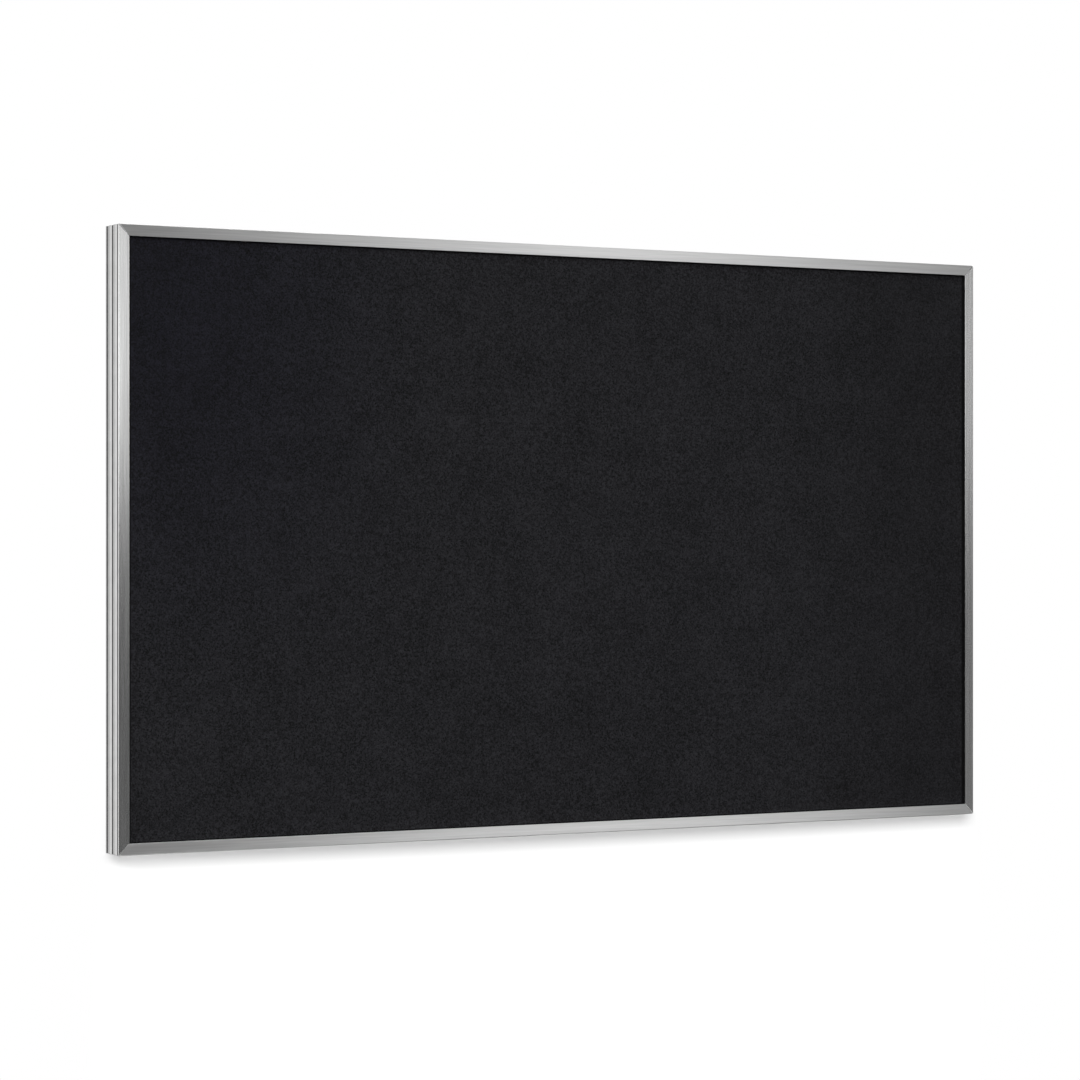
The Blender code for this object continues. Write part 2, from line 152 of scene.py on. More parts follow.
class RailSizes(bpy.types.PropertyGroup):
    """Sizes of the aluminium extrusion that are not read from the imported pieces."""

    seat_gap: length("Seat gap", "Clearance between a piece and its seat", 0.0003)
    mitre_gap: length("Mitre gap", "Hairline between two rails at a corner", 0.0002)
    mitre_ease: length("Mitre ease", "Broken edge round each saw cut", 0.0002)
    face_ease: length("Face ease", "Broken edge of the saw cut on the front face", 0.0011)
    face_wall: length("Face wall", "Thickness of the front face", 0.0018)
    lip_wall: length("Lip wall", "Thickness of the lip that turns back onto the rubber", 0.0016)
    side_wall: length("Side wall", "Thickness of the outer side under its grooves", 0.0011)
    web_wall: length("Web wall", "Thickness of the two webs and of the rear lips", 0.0016)
    edge_band: length("Edge band", "Flat band at each edge of the outer side", 0.0036)
    groove_width: length("Groove width", "Width of a groove in the outer side", 0.0037)
    groove_depth: length("Groove depth", "Depth of a groove below the feet of the reeds", 0.0015)
    groove_radius: length("Groove radius", "Radius in the corners of a groove", 0.0004)
    reed_rise: length("Reed rise", "How far a reed's crown stands over its feet", 0.0003)
    slot_width: length("Slot width", "Width of the slot in the rear of the rail", 0.0066)
    outer_radius: length("Outer radius", "Radius of the two outer edges", 0.001)
    inner_radius: length("Inner radius", "Radius of the face's inner edge", 0.0004)
    hook_radius: length("Hook radius", "Radius where a hanger's bend sits", 0.0012)
    broken_edge: length("Broken edge", "Radius of the other edges", 0.0003)
    fillet: length("Fillet", "Radius in the inner corners", 0.0004)
    reeds: IntProperty(name="Reeds", description="Number of reeds in the outer side", default=2, min=1)
    arc_steps: IntProperty(name="Arc steps", description="Flats in each rounded edge", default=6, min=1)
    reed_steps: IntProperty(name="Reed steps", description="Flats in each reed", default=24, min=2)


class SheetSizes(bpy.types.PropertyGroup):
    """Sizes of the rubber sheet's surface."""

    cell: length("Cell", "Spacing of the points over the sheet", 0.006)
    edge_radius: length("Edge radius", "Radius of the sheet's cut edges", 0.0005)
    edge_steps: IntProperty(name="Edge steps", description="Flats in the eased edge", default=3, min=1)
    wave_height: length("Wave height", "Depth of the sheet's shallow waves", 0.00012)
    wave_length: length("Wave length", "Length of the sheet's shallow waves", 0.07)
    granule: length("Granule", "Size of a rubber granule", 0.0027)
    # The pressed strip is painted shade: a dark strip of rubber beside the lips, where their shadow
    # falls
    pressed: length("Pressed strip", "Width of the dark strip beside the upright rails' lips", 0.0045)


class Finishes(bpy.types.PropertyGroup):
    """Colours and roughness of the five finishes."""

    aluminium: colour("Aluminium", "Satin anodised aluminium", (0.765, 0.765, 0.763))
    upright_roughness: share("Upright roughness", "Roughness of the upright rails' brushed faces", 0.22)
    level_roughness: share("Level roughness", "Roughness of the level rails' brushed faces", 0.35)
    brushed_stretch: share("Brushed stretch", "How far the brushing stretches reflections", 1)
    satin_roughness: share("Satin roughness", "Roughness of the extrusion's other sides", 0.2)
    groove_roughness: share("Groove roughness", "Roughness of the dull skin left in the grooves", 0.5)
    # Groove tone is painted shade: how dark the grooves are painted beside the other sides
    groove_painted_shade: share("Groove tone", "How bright the grooves' skin is beside the other sides", 0.15)
    rubber: colour("Rubber", "Black granulated rubber", (0.0131, 0.0130, 0.0147))
    hardboard: colour("Hardboard", "Brown pressed fibre", (0.19, 0.10, 0.05))
    zinc: colour("Zinc", "Zinc-plated steel", (0.55, 0.55, 0.52))
    oxide: colour("Black oxide", "Blackened steel of the set screws", (0.045, 0.045, 0.05))


class Studio(bpy.types.PropertyGroup):
    """The camera's place and the strength of each light."""

    lens: FloatProperty(name="Lens", description="Focal length in millimetres", default=110.38, min=1)
    camera_side: length("Camera side", "How far left of the board's middle the camera stands", 2.554)
    camera_reach: length("Camera reach", "How far in front of the board the camera stands", 4.480)
    camera_drop: length("Camera drop", "How far under the board's middle the camera is", 0.0005)
    camera_heading: FloatProperty(
        name="Camera heading", description="Turn of the camera to the right of straight ahead",
        default=math.radians(29.0525), subtype="ANGLE",
    )
    far_wall: strength("Far left wall", "Brightness of the studio straight to the left", 0.65)
    left_wall: strength("Left wall", "Brightness of the studio's left half, in front", 1.0)
    band: strength("Band", "Extra light of a low band along the studio's left half", 1.35)
    middle_wall: strength("Middle wall", "Brightness of the studio between wall and strip", 0.2)
    right_wall: strength("Right wall", "Brightness of the studio's right half, in front", 0.02)
    strip: strength("Strip", "Brightness of the upright strip light at the front right", 1.02)
    softbox: strength("Softbox", "Brightness of the softbox over the strip light", 0.5)
    key: strength("Key", "Brightness of the large high softbox at the front left", 6)
    left_gap: share("Left gap", "Brightness of the dark gap under the horizon, to the left", 0.062)
    right_gap: share("Right gap", "Brightness of the dark gap under the horizon, to the right", 0.27)
    ceiling: share("Ceiling", "Brightness of the studio's ceiling, beside its walls", 0.3)
    backdrop: strength("Backdrop", "Light that the backdrop sheds on the board's back", 0.8)
    shade: share("Shade", "How dark the backdrop is straight behind the board", 0.88)
    side_shade: share("Side shade", "How dark the flag low to the right of the board is", 0.92)
    overhead: strength("Overhead", "Light of the overhead lamp on the floor", 0.95)
    floor_paint: share("Floor paint", "Grey of the floor as it lights the board", 0.06)
    floor_seen: share("Floor seen", "Grey of the floor as the camera sees it", 0.6)


class Wire:
    """A node's socket, on which sums and products can be written."""

    def __init__(self, sheet, socket):
        self.sheet = sheet
        self.socket = socket

    def __add__(self, other):
        return self.sheet.math("ADD", self, other)

    __radd__ = __add__

    def __sub__(self, other):
        return self.sheet.math("SUBTRACT", self, other)

    def __rsub__(self, other):
        return self.sheet.math("SUBTRACT", other, self)

    def __mul__(self, other):
        return self.sheet.math("MULTIPLY", self, other)

    __rmul__ = __mul__


class NodeSheet:
    """The nodes of a material or of the world."""

    def __init__(self, owner):
        owner.use_nodes = True
        self.tree = owner.node_tree

    def feed(self, socket, value):
        """Give a socket a link or a value."""
        if isinstance(value, Wire):
            self.tree.links.new(value.socket, socket)
        elif socket.type == "RGBA":
            socket.default_value = (*value, 1)
        else:
            socket.default_value = value

    def add(self, kind, settings, sockets, output=0):
        """A new node: its settings come first, then the values or links of its sockets."""
        node = self.tree.nodes.new(kind)
        for name, value in settings.items():
            setattr(node, name, value)
        for key, value in sockets.items():
            self.feed(node.inputs[key], value)
        return Wire(self, node.outputs[output])

    def outputs(self, kind, sockets, names):
        """Several outputs of one new node."""
        first = self.add(kind, {}, sockets)
        node = first.socket.node
        return [Wire(self, node.outputs[name]) for name in names]

    def zone(self, value, low, high, soft):
        """One between low and high, and nothing outside, with soft edges that wide."""
        rise = self.ramp(value, low - soft / 2, low + soft / 2)
        return rise * self.ramp(value, high - soft / 2, high + soft / 2, 1, 0)

    def math(self, operation, first, second):
        """One Math node."""
        return self.add("ShaderNodeMath", {"operation": operation}, {0: first, 1: second})

    def mix(self, factor, first, second):
        """One colour for another, by a factor from zero to one."""
        settings = {"data_type": "RGBA", "clamp_factor": True}
        return self.add("ShaderNodeMix", settings, {0: factor, 6: first, 7: second}, output=2)

    def shades(self, factor, base, darkest, palest):
        """A colour between two shades of a base, by a factor from zero to one."""
        return self.mix(factor, base * darkest, base * palest)

    def ramp(self, value, low, high, to_low=0, to_high=1):
        """A smooth step: to_low where the value is under low, to_high where it is over high."""
        settings = {"interpolation_type": "SMOOTHSTEP", "clamp": True}
        limits = {"From Min": low, "From Max": high, "To Min": to_low, "To Max": to_high}
        return self.add("ShaderNodeMapRange", settings, {"Value": value, **limits})

    def place(self, scale=(1, 1, 1)):
        """Object coordinates in metres, times a scale on each axis."""
        spot = self.add("ShaderNodeTexCoord", {}, {}, output="Object")
        return self.add("ShaderNodeMapping", {"vector_type": "POINT"}, {"Vector": spot, "Scale": scale})

    def noise(self, place, scale, detail=2):
        """Cloudy noise from zero to one, with features of one over scale."""
        return self.add("ShaderNodeTexNoise", {}, {"Vector": place, "Scale": scale, "Detail": detail})

    def cells(self, place, scale, output):
        """Granules of about one over scale: distance to a granule's middle, or its own colour."""
        return self.add("ShaderNodeTexVoronoi", {}, {"Vector": place, "Scale": scale}, output=output)

    def bump(self, height, strength, distance):
        """Normals of a relief given as heights from zero to one."""
        sockets = {"Height": height, "Strength": strength, "Distance": distance}
        return self.add("ShaderNodeBump", {}, sockets)


class Finish(NodeSheet):
    """A new material, made of nodes that end in one Principled shader."""

    def __init__(self, name):
        self.material = bpy.data.materials.new(name)
        super().__init__(self.material)
        self.shader = self.tree.nodes["Principled BSDF"]

    def set(self, **sockets):
        """Give the shader's sockets, named with underscores for spaces, links or values."""
        for name, value in sockets.items():
            self.feed(self.shader.inputs[name.replace("_", " ")], value)
        return self.material


def swing(noise, reach):
    """A noise as a swing round zero, with that much between its lowest and highest."""
    return (noise - 0.5) * reach


def brushing_streaks(finish, stretch):
    """Fine and broad streaks left by brushing, drawn out along the axis whose stretch is small."""
    coarser = 4
    fine = finish.noise(finish.place(stretch), scale=1, detail=3)
    broad = finish.noise(finish.place([axis / coarser for axis in stretch]), scale=1, detail=1)
    return fine, broad


def brushed_aluminium(settings, upright):
    """Front faces of the rails: anodised aluminium, brushed along the rail."""
    finish = Finish("brushed_upright" if upright else "brushed_level")
    # Streaks to the metre, along the rail and across it
    along, across = 10, 420
    stretch = (across, across, along) if upright else (along, across, across)
    fine, broad = brushing_streaks(finish, stretch)
    tone = finish.ramp(0.6 * fine + 0.4 * broad, 0.25, 0.75)
    roughness = settings.upright_roughness if upright else settings.level_roughness
    uneven, relief, brushing_turn = (0.02, 0.01, 0) if upright else (0.12, 0.08, 0.25)
    return finish.set(
        Base_Color=finish.shades(tone, Vector(settings.aluminium), darkest=0.88, palest=1.12),
        Metallic=1,
        Roughness=roughness + swing(fine, uneven),
        Anisotropic=settings.brushed_stretch,
        Anisotropic_Rotation=brushing_turn,
        Normal=finish.bump(fine, strength=relief, distance=0.0002),
    )


def satin_aluminium(settings):
    """The rails' other sides: anodised as extruded, with faint clouds and a fine grain."""
    finish = Finish("satin_extrusion")
    clouds = finish.noise(finish.place(), scale=60, detail=4)
    grain = finish.noise(finish.place(), scale=1800, detail=1)
    tone = finish.ramp(clouds, 0.3, 0.7)
    return finish.set(
        Base_Color=finish.shades(tone, Vector(settings.aluminium), darkest=0.95, palest=1.03),
        Metallic=1,
        Roughness=settings.satin_roughness + swing(clouds, 0.1) + swing(grain, 0.06),
        Normal=finish.bump(grain, strength=0.05, distance=0.0001),
    )


def dull_groove_skin_and_painted_shade(settings):
    """Floors and walls of the grooves: the extrusion's dull skin, painted dark as their shade."""
    finish = Finish("dull_groove_skin_and_painted_shade")
    clouds = finish.noise(finish.place(), scale=240, detail=4)
    tone = finish.ramp(clouds, 0.3, 0.7)
    # The grooves' colour is painted shade, far darker than the aluminium; their roughness is the dull
    # skin
    base = Vector(settings.aluminium) * settings.groove_painted_shade
    return finish.set(
        Base_Color=finish.shades(tone, base, darkest=0.85, palest=1.15),
        Metallic=1,
        Roughness=settings.groove_roughness + swing(clouds, 0.2),
    )


def black_rubber(settings, sheet):
    """Pressed rubber granules: each has its own shade and crown, with pits between them.

    A painted shade makes the upper left and the right of the sheet darker than the middle, and
    the upper left bluer. A strip along the frame's lips, narrower at the level rails, is painted
    dark there as the lips' shade.
    """
    finish = Finish("granulated_rubber")
    place, granule = finish.place(), sheet.granule
    tint = finish.cells(place, 1 / granule, "Color")
    shade = finish.add("ShaderNodeSeparateColor", {}, {"Color": tint})
    crumb = finish.cells(place, 1 / granule, "Distance")
    fine = finish.noise(place, scale=1.5 / granule, detail=2)
    pits = finish.ramp(finish.noise(place, scale=0.9 / granule, detail=1), 0.3, 0.42)
    clouds = finish.noise(place, scale=14, detail=3)
    tone = finish.ramp(0.25 * shade + 0.6 * fine + 0.15 * clouds, 0.2, 0.8)

    # Painted shade darkens the sheet towards the upper left and the right, between these steps in
    # metres from the board's middle, and by these shares
    left_x, left_z, right_x = (-0.72, -0.2), (-0.3, 0.35), (0.35, 0.65)
    left_painted_shade, right_painted_shade = 0.42, 0.22
    x, _, z = finish.outputs("ShaderNodeSeparateXYZ", {"Vector": place}, "XYZ")
    left = finish.ramp(x, *left_x, 1, 0) * finish.ramp(z - BOARD_MIDDLE.z, *left_z)
    painted_shade = 1 - left_painted_shade * left - right_painted_shade * finish.ramp(x, *right_x)

    # The strip of painted shade along the lips: how much narrower it is at the level rails, how
    # much of it is in full painted shade, and the light that is left there
    narrower, full_shade, light_left = 2.5, 0.6, 0.05
    beside = BOARD_SIZE.x / 2 - RAIL_WIDTH - finish.math("ABSOLUTE", x - BOARD_MIDDLE.x, 0)
    above = BOARD_SIZE.z / 2 - RAIL_WIDTH - finish.math("ABSOLUTE", z - BOARD_MIDDLE.z, 0)
    inside = finish.math("MINIMUM", beside, above * narrower)
    painted_shade = painted_shade * finish.ramp(inside, sheet.pressed * full_shade, sheet.pressed, light_left, 1)

    palest, bluer, pit_shade = 2.1, 1.25, 0.3
    base = Vector(settings.rubber)
    blue = Vector((base.x, base.y, base.z * bluer))
    # The granules' colour carries the painted shade, and the upper left is painted bluer
    crumbs = finish.mix(tone * painted_shade, base * 0, finish.mix(left, base * palest, blue * palest))
    height = 0.4 * (1 - crumb) + 0.35 * fine + 0.25 * pits
    smoothest, roughest = 0.7, 0.88
    return finish.set(
        Base_Color=finish.mix(pits, base * pit_shade, crumbs),
        Roughness=finish.ramp(shade, 0, 1, smoothest, roughest),
        Specular_IOR_Level=0.1,
        Normal=finish.bump(height, strength=1, distance=granule / 4),
    )


def pressed_fibre(settings):
    """Hardboard: matted fibres, dark flecks and broad clouds."""
    finish = Finish("pressed_fibre")
    place = finish.place()
    # Fibres to the metre on each axis
    stretch = (240, 240, 700)
    fibres = finish.noise(finish.place(stretch), scale=1, detail=4)
    flecks = finish.noise(place, scale=420, detail=2)
    clouds = finish.noise(place, scale=9, detail=3)
    tone = finish.ramp(0.45 * fibres + 0.25 * flecks + 0.3 * clouds, 0.3, 0.7)
    return finish.set(
        Base_Color=finish.shades(tone, Vector(settings.hardboard), darkest=0.7, palest=1.3),
        Roughness=0.7 + swing(fibres, 0.2),
        Normal=finish.bump(fibres, strength=0.35, distance=0.0004),
    )


def zinc_plate(settings):
    """Zinc-plated steel: cloudy, with a faint warm and cold cast and fine rolling lines."""
    finish = Finish("zinc_plate")
    clouds = finish.noise(finish.place(), scale=110, detail=4)
    # Rolling lines to the metre on each axis
    stretch = (900, 900, 60)
    lines = finish.noise(finish.place(stretch), scale=1, detail=2)
    base = Vector(settings.zinc)
    warm, cold = base * 1.1, Vector((base.x * 0.92, base.y * 0.97, base.z * 1.08))
    return finish.set(
        Base_Color=finish.mix(finish.ramp(clouds, 0.35, 0.65), warm, cold),
        Metallic=1,
        Roughness=0.34 + swing(clouds, 0.3) + swing(lines, 0.1),
        Normal=finish.bump(lines, strength=0.1, distance=0.0001),
    )


def black_oxide(settings):
    """Blackened steel with a bluish cast, worn brighter and smoother in small patches."""
    finish = Finish("black_oxide")
    wear = finish.ramp(finish.noise(finish.place(), scale=900, detail=3), 0.62, 0.75)
    return finish.set(
        Base_Color=finish.shades(wear, Vector(settings.oxide), darkest=1, palest=4),
        Metallic=1,
        Roughness=0.42 - wear * 0.12,
    )


def rounded(corners, steps):
    """Outline through corners (x, y, radius).

    Each corner with a radius gives way to an arc that touches both of its sides. The arc's centre
    lies on the corner's bisector, one radius over the sine of half the corner's angle away, and
    the radius is limited so that the arc takes no more than half of the shorter side.
    """
    spots, radii = np.array(corners)[:, :2], np.array(corners)[:, 2]
    before, after = np.roll(spots, 1, axis=0) - spots, np.roll(spots, -1, axis=0) - spots
    room = np.minimum(np.linalg.norm(before, axis=1), np.linalg.norm(after, axis=1)) / 2
    before /= np.linalg.norm(before, axis=1)[:, None]
    after /= np.linalg.norm(after, axis=1)[:, None]
    half = np.arccos(np.clip((before * after).sum(axis=1), -1, 1)) / 2
    reach = np.minimum(radii / np.tan(half), room)
    # Least length taken for a bisector, because a straight corner's has none
    least = 1e-9
    bisector = before + after
    bisector /= np.maximum(np.linalg.norm(bisector, axis=1), least)[:, None]
    centre = spots + bisector * (reach * np.tan(half) / np.sin(half))[:, None]
    first = spots + before * reach[:, None] - centre
    last = spots + after * reach[:, None] - centre
    cross = first[:, 0] * last[:, 1] - first[:, 1] * last[:, 0]
    turn = np.arctan2(cross, (first * last).sum(axis=1))[:, None] * np.linspace(0, 1, steps + 1)
    x = centre[:, :1] + np.cos(turn) * first[:, :1] - np.sin(turn) * first[:, 1:]
    y = centre[:, 1:] + np.sin(turn) * first[:, :1] + np.cos(turn) * first[:, 1:]
    kept = (radii[:, None] > 0) | (np.arange(steps + 1) == 0)
    return np.stack([x[kept], y[kept]], axis=1)


def groove_places(rail):
    """Depths of each groove's front and back wall, from the back groove forward."""
    count = rail.reeds + 1
    backs = np.linspace(BOARD_SIZE.y - rail.edge_band, rail.edge_band + rail.groove_width, count)
    return np.stack([backs - rail.groove_width, backs], axis=1)


def reeded_side(rail):
    """Corners of the outer side, from the back edge forward.

    Flat bands end it, and reeds alternate with grooves between them. A reed's crown is a circular
    arc over the reed's width whose height is the reed's rise.
    """
    places = groove_places(rail)
    reed_width = places[0, 0] - places[1, 1]
    floor = rail.reed_rise + rail.groove_depth
    radius = (reed_width ** 2 / 4 + rail.reed_rise ** 2) / (2 * rail.reed_rise)
    half_turn = math.asin(reed_width / 2 / radius)
    turn = np.linspace(-half_turn, half_turn, rail.reed_steps + 1)[1:-1]
    corners = []
    for index, (front, back) in enumerate(places):
        last = index == rail.reeds
        corners += [
            (rail.reed_rise if index else 0, back, 0),
            (floor, back, rail.groove_radius),
            (floor, front, rail.groove_radius),
            (0 if last else rail.reed_rise, front, 0),
        ]
        if not last:
            crown = radius - radius * np.cos(turn)
            along = front - reed_width / 2 - radius * np.sin(turn)
            corners += list(zip(crown, along, np.zeros_like(turn)))
    return corners


def rail_section(rail, front=0):
    """Section of a rail: x runs in from its outer side, and y back from its front face.

    The front is how far back the face lies, which is a little deeper in a ring where the edge of
    the saw cut is broken.
    """
    side = rail.reed_rise + rail.groove_depth + rail.side_wall
    channel = RAIL_WIDTH - rail.lip_wall
    web_front = BACKING_BACK + rail.seat_gap
    web_back = web_front + rail.web_wall
    floor_back = SHIM_FRONT - rail.seat_gap
    floor_front = floor_back - rail.web_wall
    lip_front = PLATE_BACK + rail.seat_gap
    lip_height = RUBBER_FRONT - rail.seat_gap
    slot_low = (side + channel - rail.slot_width) / 2
    slot_high = (side + channel + rail.slot_width) / 2
    depth = BOARD_SIZE.y
    corners = [
        (0, front, rail.outer_radius),
        (RAIL_WIDTH, front, rail.inner_radius),
        (RAIL_WIDTH, lip_height, rail.broken_edge),
        (channel, lip_height, rail.broken_edge),
        (channel, rail.face_wall, rail.fillet),
        (side, rail.face_wall, rail.fillet),
        (side, web_front, rail.fillet),
        (RAIL_WIDTH, web_front, rail.broken_edge),
        (RAIL_WIDTH, web_back, rail.broken_edge),
        (side, web_back, rail.fillet),
        (side, floor_front, rail.fillet),
        (RAIL_WIDTH, floor_front, rail.hook_radius),
        (RAIL_WIDTH, depth, rail.broken_edge),
        (slot_high, depth, rail.broken_edge),
        (slot_high, lip_front, rail.broken_edge),
        (channel, lip_front, rail.fillet),
        (channel, floor_back, rail.fillet),
        (side, floor_back, rail.fillet),
        (side, lip_front, rail.fillet),
        (slot_low, lip_front, rail.broken_edge),
        (slot_low, depth, rail.broken_edge),
        (0, depth, rail.outer_radius),
    ]
    return rounded(corners + reeded_side(rail), rail.arc_steps)


def shrunk(outline, inset):
    """An outline moved inwards along the mean of each point's two side normals."""
    side = np.roll(outline, -1, axis=0) - outline
    normal = np.stack([side[:, 1], -side[:, 0]], axis=1) / np.linalg.norm(side, axis=1)[:, None]
    normal += np.roll(normal, 1, axis=0)
    normal /= np.linalg.norm(normal, axis=1)[:, None]
    x, y = outline[:, 0], outline[:, 1]
    turning = np.sign(np.sum(x * np.roll(y, -1) - y * np.roll(x, -1)))
    return outline - normal * inset * turning


def solid(name, points, faces, smooth_angle):
    """A mesh piece with its place in its points, smooth over edges that turn by less than an angle."""
    mesh = bpy.data.meshes.new(name)
    mesh.from_pydata(points, [], faces)
    mesh.shade_smooth()
    mesh.set_sharp_from_angle(angle=smooth_angle)
    piece = bpy.data.objects.new(name, mesh)
    bpy.context.scene.collection.objects.link(piece)
    return piece


def ring_faces(rings, count):
    """Quads between rings of points, each ring closed on itself."""
    ring, spot = np.meshgrid(np.arange(rings - 1), np.arange(count), indexing="ij")
    after = (spot + 1) % count
    low, high = ring * count, (ring + 1) * count
    quads = np.stack([low + spot, low + after, high + after, high + spot], axis=-1)
    return quads.reshape(-1, 4)


def rail_piece(name, rail, finishes):
    """One mitred rail.

    Two parameters make the surface: a point (x, y) of the section, and the place s along the rail
    from -1 to 1. The rail's own axes give (x, y, s * (half its length - x - half the mitre gap's
    slant)), so that both ends lie at 45 degrees. The section of each end ring is a little smaller,
    and its front a little deeper, which breaks the edge of the saw cut.
    """
    level = name in ("top_rail", "bottom_rail")
    half = (BOARD_SIZE.x if level else BOARD_SIZE.z) / 2
    reach = (BOARD_SIZE.z if level else BOARD_SIZE.x) / 2
    section = rail_section(rail)
    on_front = section[:, 1] < (rail.outer_radius + rail.face_wall) / 2
    ease = np.where(on_front, rail.face_ease, rail.mitre_ease)
    end = shrunk(rail_section(rail, rail.face_ease - rail.mitre_ease), rail.mitre_ease)
    slant = rail.mitre_gap / math.sqrt(2)
    rings = []
    for outline, share_along, back_off in (
        (end, -1, 0),
        (section, -1, ease),
        (section, 1, ease),
        (end, 1, 0),
    ):
        z = share_along * (half - outline[:, 0] - slant - back_off)
        rings.append(np.column_stack([outline[:, 0] - reach, outline[:, 1], z]))
    points = np.concatenate(rings)
    turn = Matrix.Rotation(math.radians(RAIL_TURNS[name]), 3, "Y")
    origin = Vector((BOARD_MIDDLE.x, FRONT, BOARD_MIDDLE.z))
    points = points @ np.array(turn.transposed()) + np.array(origin)
    count = len(section)
    quads = ring_faces(len(rings), count)
    low_end = list(range(count))[::-1]
    high_end = list(range(len(points) - count, len(points)))
    faces = quads.tolist() + [low_end, high_end]
    piece = solid(f"{name}_extrusion", points, faces, smooth_angle=math.radians(30))

    # Each flat along the rail takes the finish of its own stretch of the section
    brushed, satin, groove = range(3)
    on_face = (section[:, 1] <= rail.outer_radius) & (np.roll(section[:, 1], -1) <= rail.outer_radius)
    centre = (section + np.roll(section, -1, axis=0)) / 2
    fronts, backs = groove_places(rail).T[:, :, None]
    in_groove = ((centre[:, 1] >= fronts) & (centre[:, 1] <= backs)).any(axis=0)
    in_groove &= centre[:, 0] < rail.reed_rise + rail.groove_depth + rail.side_wall / 2
    slots = np.where(on_face, brushed, np.where(in_groove, groove, satin))
    slots = np.append(np.tile(slots, len(rings) - 1), [satin, satin])
    for finish in ("level" if level else "upright", "satin", "groove"):
        piece.data.materials.append(finishes[finish])
    piece.data.polygons.foreach_set("material_index", slots.astype(np.int32))
    flats = piece.modifiers.new("flat_faces", "WEIGHTED_NORMAL")
    flats.keep_sharp = True
    return piece


def waves(x, z, sheet, seed):
    """Shallow waves of the bonded sheet: a sum of sine waves in seeded directions and lengths."""
    random = np.random.default_rng(seed)
    height = np.zeros_like(x)
    count, shortest, longest = 24, 0.5, 2
    for _ in range(count):
        heading, phase = random.uniform(0, 2 * np.pi, 2)
        pitch = sheet.wave_length * random.uniform(shortest, longest)
        height += np.sin((x * np.cos(heading) + z * np.sin(heading)) * 2 * np.pi / pitch + phase)
    return height * sheet.wave_height / math.sqrt(count)


def eased_lines(low, high, sheet):
    """Grid lines over one side of the sheet, and how far each line's points drop back.

    The lines follow a quarter circle at each end, where the edge is eased, and are evenly spaced
    between.
    """
    turn = np.linspace(0, np.pi / 2, sheet.edge_steps + 1)
    inset = sheet.edge_radius * (1 - np.sin(turn))
    drop = sheet.edge_radius * (1 - np.cos(turn))[::-1]
    steps = max(2, round((high - low) / sheet.cell))
    middle = np.linspace(low + sheet.edge_radius, high - sheet.edge_radius, steps + 1)[1:-1]
    lines = np.concatenate([low + inset[::-1], middle, high - inset])
    drops = np.concatenate([drop[::-1], np.zeros(steps - 1), drop])
    return lines, drops


def rubber_piece(sheet):
    """The rubber sheet.

    Its front is a grid over width x and height z, at the depth given by the waves and, near the
    cut edges, by a quarter circle. The waves swing round twice their height, and fade out towards
    the edges. The rim drops straight to the flat back, which closes in a fan.
    """
    x_lines, x_drop = eased_lines(SHEET_LOW.x, SHEET_HIGH.x, sheet)
    z_lines, z_drop = eased_lines(SHEET_LOW.z, SHEET_HIGH.z, sheet)
    x, z = np.meshgrid(x_lines, z_lines, indexing="ij")
    inside = np.minimum(x - SHEET_LOW.x, SHEET_HIGH.x - x)
    inside = np.minimum(inside, np.minimum(z - SHEET_LOW.z, SHEET_HIGH.z - z))
    fade = np.clip(inside / RAIL_WIDTH - 1, 0, 1)
    relief = (waves(x, z, sheet, seed=5) + sheet.wave_height * 2) * fade
    depth = SHEET_LOW.y + np.maximum(x_drop[:, None], z_drop[None, :]) + relief
    front = np.stack([x, depth, z], axis=-1)
    rows, columns = x.shape
    index = np.arange(rows * columns).reshape(rows, columns)
    rim = np.concatenate([index[:-1, 0], index[-1, :-1], index[:0:-1, -1], index[0, :0:-1]])
    back = front.reshape(-1, 3)[rim].copy()
    back[:, 1] = SHEET_HIGH.y
    centre = [[(SHEET_LOW.x + SHEET_HIGH.x) / 2, SHEET_HIGH.y, (SHEET_LOW.z + SHEET_HIGH.z) / 2]]
    points = np.concatenate([front.reshape(-1, 3), back, centre])
    quads = np.stack([index[:-1, :-1], index[1:, :-1], index[1:, 1:], index[:-1, 1:]], axis=-1)
    lower = rows * columns + np.arange(len(rim))
    upper_next, lower_next = np.roll(rim, -1), np.roll(lower, -1)
    walls = np.stack([rim, lower, lower_next, upper_next], axis=-1)
    fan = np.stack([lower, np.full(len(rim), len(points) - 1), lower_next], axis=-1)
    faces = quads.reshape(-1, 4).tolist() + walls.tolist() + fan.tolist()
    return solid("rubber_sheet_granulated", points, faces, smooth_angle=math.radians(40))


def give(node, material):
    """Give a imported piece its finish."""
    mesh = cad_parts[node].data
    mesh.materials.clear()
    mesh.materials.append(material)


def stand_in(piece, node):
    """Let a finished piece stand for a packed one."""
    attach(piece, "root")
    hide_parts(node)


class TACKBOARD_OT_rails(bpy.types.Operator):
    """Sweep the four mitred rails and give them their brushed and satin finishes"""

    bl_idname = "tackboard.rails"
    bl_label = "Rails"

    def execute(self, context):
        settings = context.scene.tackboard_finishes
        finishes = {
            "level": brushed_aluminium(settings, upright=False),
            "upright": brushed_aluminium(settings, upright=True),
            "satin": satin_aluminium(settings),
            "groove": dull_groove_skin_and_painted_shade(settings),
        }
        for name in RAIL_TURNS:
            piece = rail_piece(name, context.scene.tackboard_rail, finishes)
            stand_in(piece, name)
        return {"FINISHED"}


class TACKBOARD_OT_rubber(bpy.types.Operator):
    """Make the granulated rubber sheet"""

    bl_idname = "tackboard.rubber"
    bl_label = "Rubber sheet"

    def execute(self, context):
        sheet = context.scene.tackboard_sheet
        piece = rubber_piece(sheet)
        piece.data.materials.append(black_rubber(context.scene.tackboard_finishes, sheet))
        stand_in(piece, "rubber_sheet")
        return {"FINISHED"}


class TACKBOARD_OT_backing(bpy.types.Operator):
    """Give the backing board its pressed fibre"""

    bl_idname = "tackboard.backing"
    bl_label = "Backing board"

    def execute(self, context):
        give("backing_board", pressed_fibre(context.scene.tackboard_finishes))
        return {"FINISHED"}


